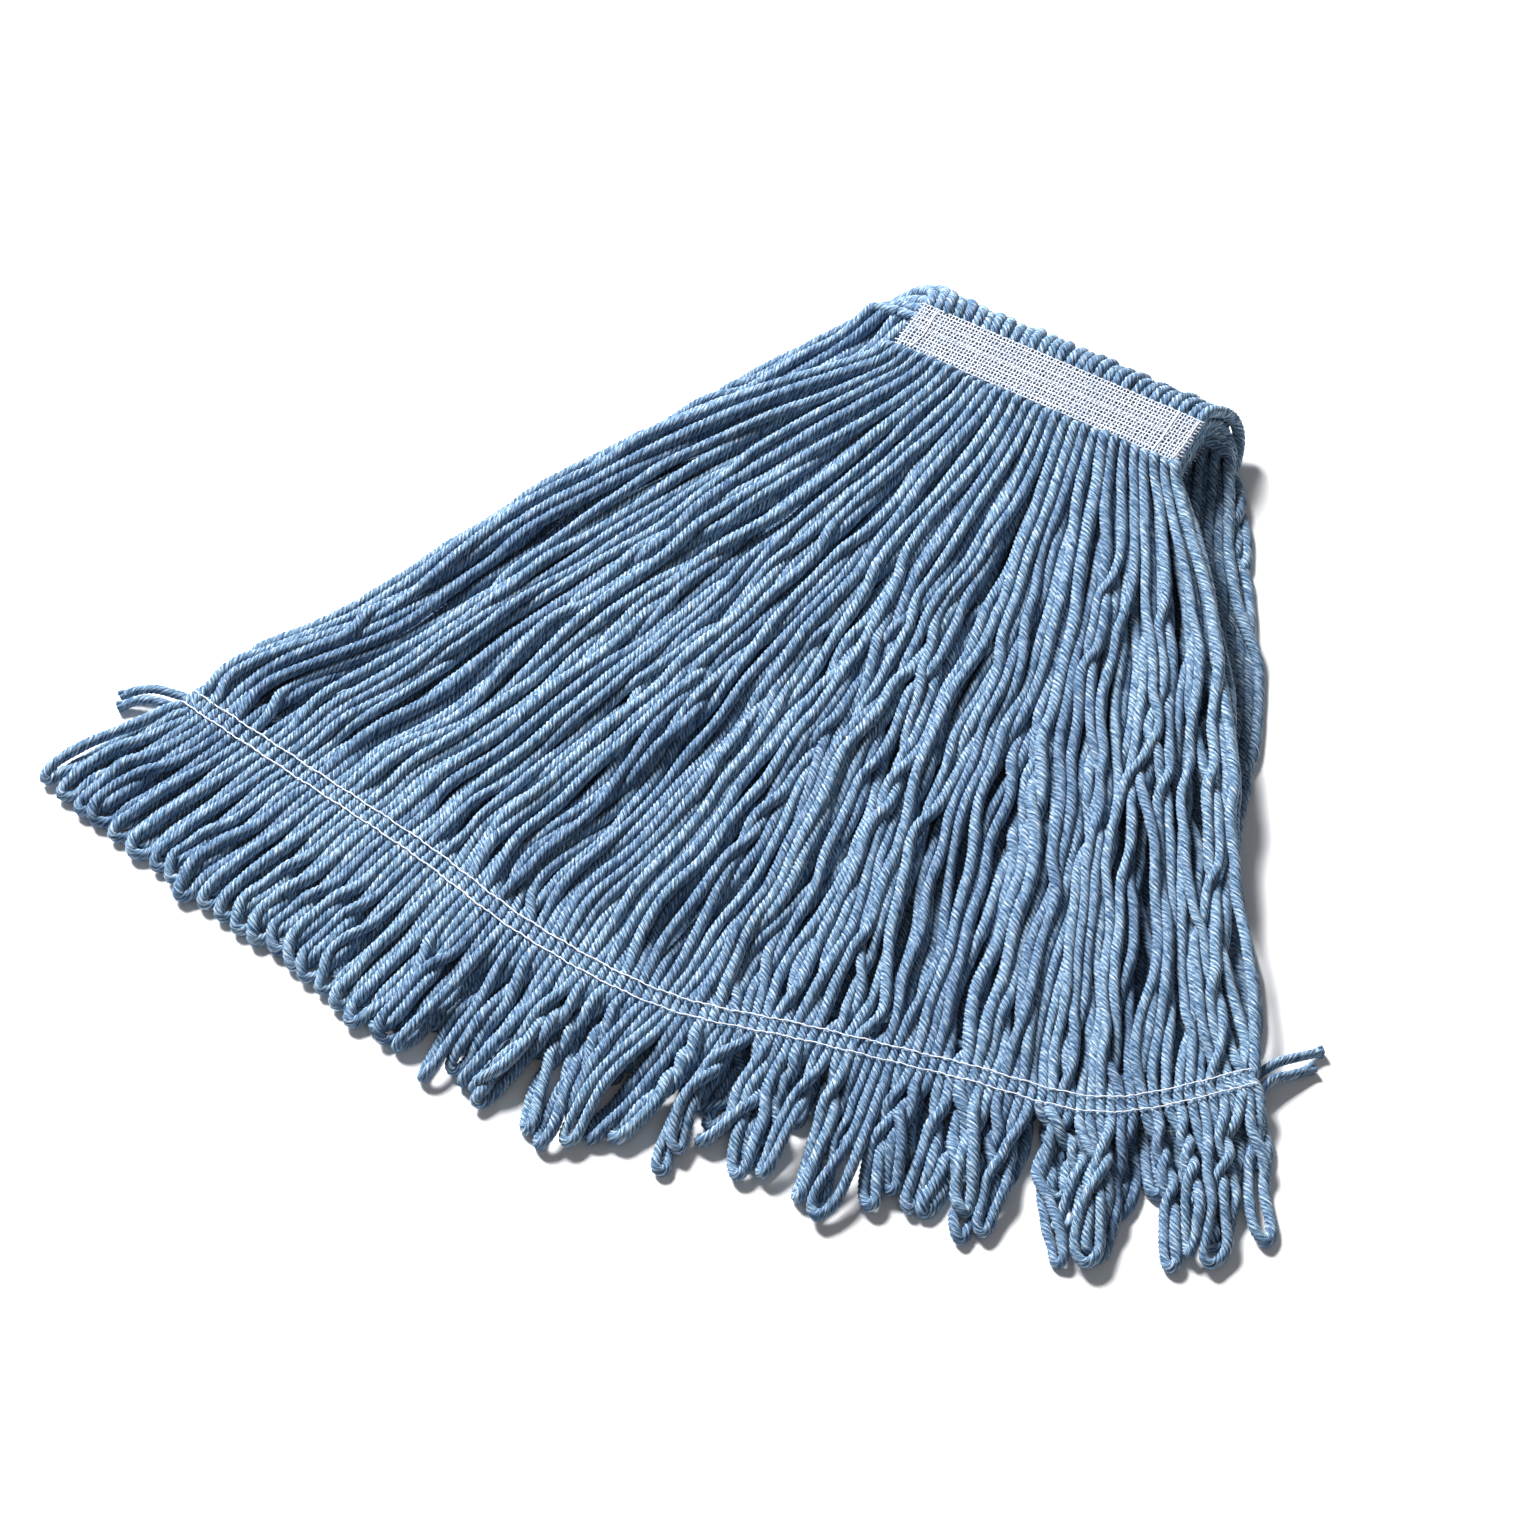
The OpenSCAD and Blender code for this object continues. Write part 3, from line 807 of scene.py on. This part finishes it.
# ---------------------------------------------------------------- headband tape, stitches and tack threads
def round_threads(name, paths, radius, material, slot, nodes, body, sides=6, flat=1.0, step=.8):
    """Threads of one radius along a list of paths; flat presses them along z."""
    angles = 2 * np.pi * np.arange(sides) / sides
    rings = []
    for path in paths:
        p = resample(np.array(path, float)[None], step)
        _, side, other = carry_frames(p)
        ring = sweep(p, side, other, np.zeros(p.shape[:2]), angles, np.full(sides, radius))
        ring[..., 2] = p[:, :, None, 2] + (ring[..., 2] - p[:, :, None, 2]) * flat
        rings.append(ring[0])
    piece = tube_mesh(name, rings)
    finish_piece(piece, material, slot, *nodes)
    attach(piece, body)
    return piece


WARP_COUNT, WEFT_PITCH = 14, 1.65
TAPE_THREAD_R, TAPE_THREAD_FLAT = .35, .75
WEAVE_LIFT = .26          # how far a thread goes over and under the tape's middle
STITCH_R, TACK_R, TAIL_STITCH_R = .15, .3, .31
STITCH_ROWS = 5


def tape_piece(name, node, z):
    """An open woven tape: warp threads along it, weft threads across it, over and under."""
    warp_y = np.linspace(-HALF_WID + .6, HALF_WID - .6, WARP_COUNT)
    weft_x = np.arange(-BAND_LEN / 2 + .9, BAND_LEN / 2 - .5, WEFT_PITCH)
    paths = []
    for i, y in enumerate(warp_y):
        x = np.linspace(-BAND_LEN / 2 - rng.uniform(0, 1.2), BAND_LEN / 2 + rng.uniform(0, 1.2), 170)
        over = np.cos(np.pi * (x - weft_x[0]) / WEFT_PITCH) * (1 if i % 2 else -1)
        paths.append(np.stack([x, y + .16 * smooth_noise(170, 30, .2), z + WEAVE_LIFT * over], -1))
    for k, x in enumerate(weft_x):
        y = np.linspace(-HALF_WID + .2, HALF_WID - .2, 60)
        pitch = warp_y[1] - warp_y[0]
        over = -np.cos(np.pi * (y - warp_y[0]) / pitch) * (-1 if k % 2 else 1)
        paths.append(np.stack([x + .28 * smooth_noise(60, 9, .3), y, z + WEAVE_LIFT * over], -1))
    return round_threads(name, paths, TAPE_THREAD_R, TAPE, "tape", (node,), "front_half", sides=5,
                         flat=TAPE_THREAD_FLAT)


front_tape = tape_piece("headband_front_tape_weave", "headband_front_tape", TAPE_TOP - .15)
back_tape = tape_piece("headband_back_tape_weave", "headband_back_tape", INNER_TAPE_Z + .4)


def lockstitch(start, end, stitch, z, dip):
    """A straight row of stitches: long on top, with a short dip into the cloth at each needle hole."""
    start, end = np.array(start, float), np.array(end, float)
    length = np.linalg.norm(end - start)
    t = np.arange(0, length, stitch / 8)
    p = start + (end - start) * (t / length)[:, None]
    hole = np.abs((t / stitch) % 1 - .5) * 2
    return np.concatenate([p, (z - dip * smoothstep(.7, 1, hole))[:, None]], 1)


row_ys = np.linspace(-HALF_WID + 3, HALF_WID - 3, STITCH_ROWS)
round_threads("headband_stitch_rows", [lockstitch((-BAND_LEN / 2 + 3, y), (BAND_LEN / 2 - 12, y), 3.0,
                                                  TAPE_TOP + .15, .5) for y in row_ys],
              STITCH_R, THREAD, "thread", ("headband_stitching",), "front_half")


def tack_line(x_low, x_high, wobble):
    y = np.linspace(-HALF_WID + 1, HALF_WID - 1, 30)
    x = mix(x_low, x_high, (y + HALF_WID) / BAND_WID) + wobble * np.sin((y + HALF_WID) / BAND_WID * 5)
    return np.stack([x, y, TAPE_TOP + .3 + .12 * np.sin(y * 1.9)], -1)


left_x, right_x = -BAND_LEN / 2 + 8, BAND_LEN / 2 - 13
round_threads("headband_tack_left_thread", [tack_line(left_x - 1, left_x + 2, 1.3)], TACK_R, THREAD, "thread",
              ("headband_tack_left",), "front_half")
round_threads("headband_tack_right_threads", [tack_line(right_x, right_x + 1, .4),
                                              tack_line(BAND_LEN / 2 - 2.5, BAND_LEN / 2 - 1.5, .3)],
              TACK_R, THREAD, "thread", ("headband_tack_right",), "front_half")


def tail_stitches(name, offset, z, body):
    """A row of stitches across the strands: it rides over each strand and dips between them."""
    count = 1400
    u = np.linspace(-1.0, 1.0, count)
    xy = band_point(u, np.full(count, offset))
    dist = np.concatenate([[0], np.cumsum(np.linalg.norm(np.diff(xy, axis=0), axis=1))])
    beside = np.abs(((u + 1) / 2 * STRANDS) % 1 - .5) * 2
    hole = np.abs((dist / 3.4) % 1 - .5) * 2
    height = z - .25 * beside ** 2 - .4 * smoothstep(.82, 1, hole)
    xy = xy + (.25 * np.sin(dist * .35) + .15 * np.sin(dist * 1.1))[:, None] * np.array([0, 1])
    round_threads(f"{name}_thread", [np.concatenate([xy, height[:, None]], 1)], TAIL_STITCH_R, THREAD,
                  "thread", (name,), body, sides=6, step=.7)


tail_stitches("front_tail_stitch_upper", ROW_PITCH / 2, 14.5, "front_half")
tail_stitches("front_tail_stitch_lower", -ROW_PITCH / 2, 14.5, "front_half")
tail_stitches("back_tail_stitch_upper", BACK_OFFSET + ROW_PITCH, 5.0, "back_half")
tail_stitches("back_tail_stitch_lower", BACK_OFFSET - ROW_PITCH, 5.0, "back_half")


# ---------------------------------------------------------------- floor, light and camera
# Metres and degrees from here on.
LIGHT_AIM = (0, -.2, 0)
FLOOR_HALF = 4.0
CAMERA_AZIMUTH, CAMERA_ELEVATION, CAMERA_DISTANCE = 29.5, 52, 3.93
CAMERA_AIM = (-.052, -.169, -.095)


def white_backdrop():
    """A pale wall far behind the floor on every side, so that a low view sees a pale horizon."""
    sides, radius, height = 48, 9.0, 5.0
    turn = 2 * np.pi * np.arange(sides) / sides
    low = [(radius * math.cos(a), radius * math.sin(a), -.6) for a in turn]
    high = [(x, y, height) for x, y, _ in low]
    faces = [(k, (k + 1) % sides, sides + (k + 1) % sides, sides + k) for k in range(sides)]
    mesh = bpy.data.meshes.new("backdrop")
    mesh.from_pydata(low + high, [], faces)
    wall = bpy.data.objects.new("backdrop", mesh)
    bpy.context.collection.objects.link(wall)
    n = Nodes("backdrop_paper")
    n.shader.inputs["Base Color"].default_value = srgb(.9, .9, .9)
    n.shader.inputs["Emission Color"].default_value = (1, 1, 1, 1)
    n.shader.inputs["Emission Strength"].default_value = .8
    mesh.materials.append(n.material)
    wall.visible_diffuse = False


def stage_and_light():
    floor_mesh = bpy.data.meshes.new("floor")
    h = FLOOR_HALF
    floor_mesh.from_pydata([(-h, -h, 0), (h, -h, 0), (h, h, 0), (-h, h, 0)], [], [(0, 1, 2, 3)])
    floor = bpy.data.objects.new("floor", floor_mesh)
    bpy.context.collection.objects.link(floor)
    n = Nodes("floor_paper")
    place = n.add("ShaderNodeTexCoord")
    grain = n.noise(n.scaled_position(place, "Object", (40, 40, 40)), "Vector", 1.0, 2.0, .5)
    tone = n.ramp(grain, "Fac", [(.3, srgb(.93, .93, .935)), (.7, srgb(.94, .94, .945))])
    n.join(tone, "Color", n.shader, "Base Color")
    n.shader.inputs["Roughness"].default_value = .9
    floor_mesh.materials.append(n.material)

    world = bpy.data.worlds.new("studio")
    world.use_nodes = True
    world.node_tree.nodes["Background"].inputs["Color"].default_value = (.97, .98, 1.0, 1)
    world.node_tree.nodes["Background"].inputs["Strength"].default_value = .13
    white_backdrop()
    bpy.context.scene.world = world
    bpy.context.scene.view_settings.view_transform = "Standard"

    for name, place, size, power in (("key_light", (-3.06, 1.2, 3.07), 1.5, 680),
                                     ("fill_light", (1.9, -2.2, 3.2), 3.0, 12)):
        light = bpy.data.lights.new(name, "AREA")
        light.shape, light.size, light.energy = "SQUARE", size, power
        lamp = bpy.data.objects.new(name, light)
        lamp.location = place
        lamp.rotation_euler = facing([a - b for a, b in zip(LIGHT_AIM, place)])
        bpy.context.collection.objects.link(lamp)


def facing(direction):
    """The rotation of a lamp or camera that looks along a direction."""
    return Vector(direction).to_track_quat("-Z", "Y").to_euler()


def add_camera():
    azimuth, elevation = math.radians(CAMERA_AZIMUTH), math.radians(CAMERA_ELEVATION)
    level = math.cos(elevation)
    back = (math.sin(azimuth) * level, -math.cos(azimuth) * level, math.sin(elevation))
    data = bpy.data.cameras.new("camera")
    data.lens, data.sensor_width, data.clip_end = 200, 36, 50
    camera = bpy.data.objects.new("camera", data)
    camera.location = [a + b * CAMERA_DISTANCE for a, b in zip(CAMERA_AIM, back)]
    camera.rotation_euler = facing([-b for b in back])
    bpy.context.collection.objects.link(camera)
    bpy.context.scene.camera = camera


stage_and_light()
add_camera()
bpy.context.view_layer.update()
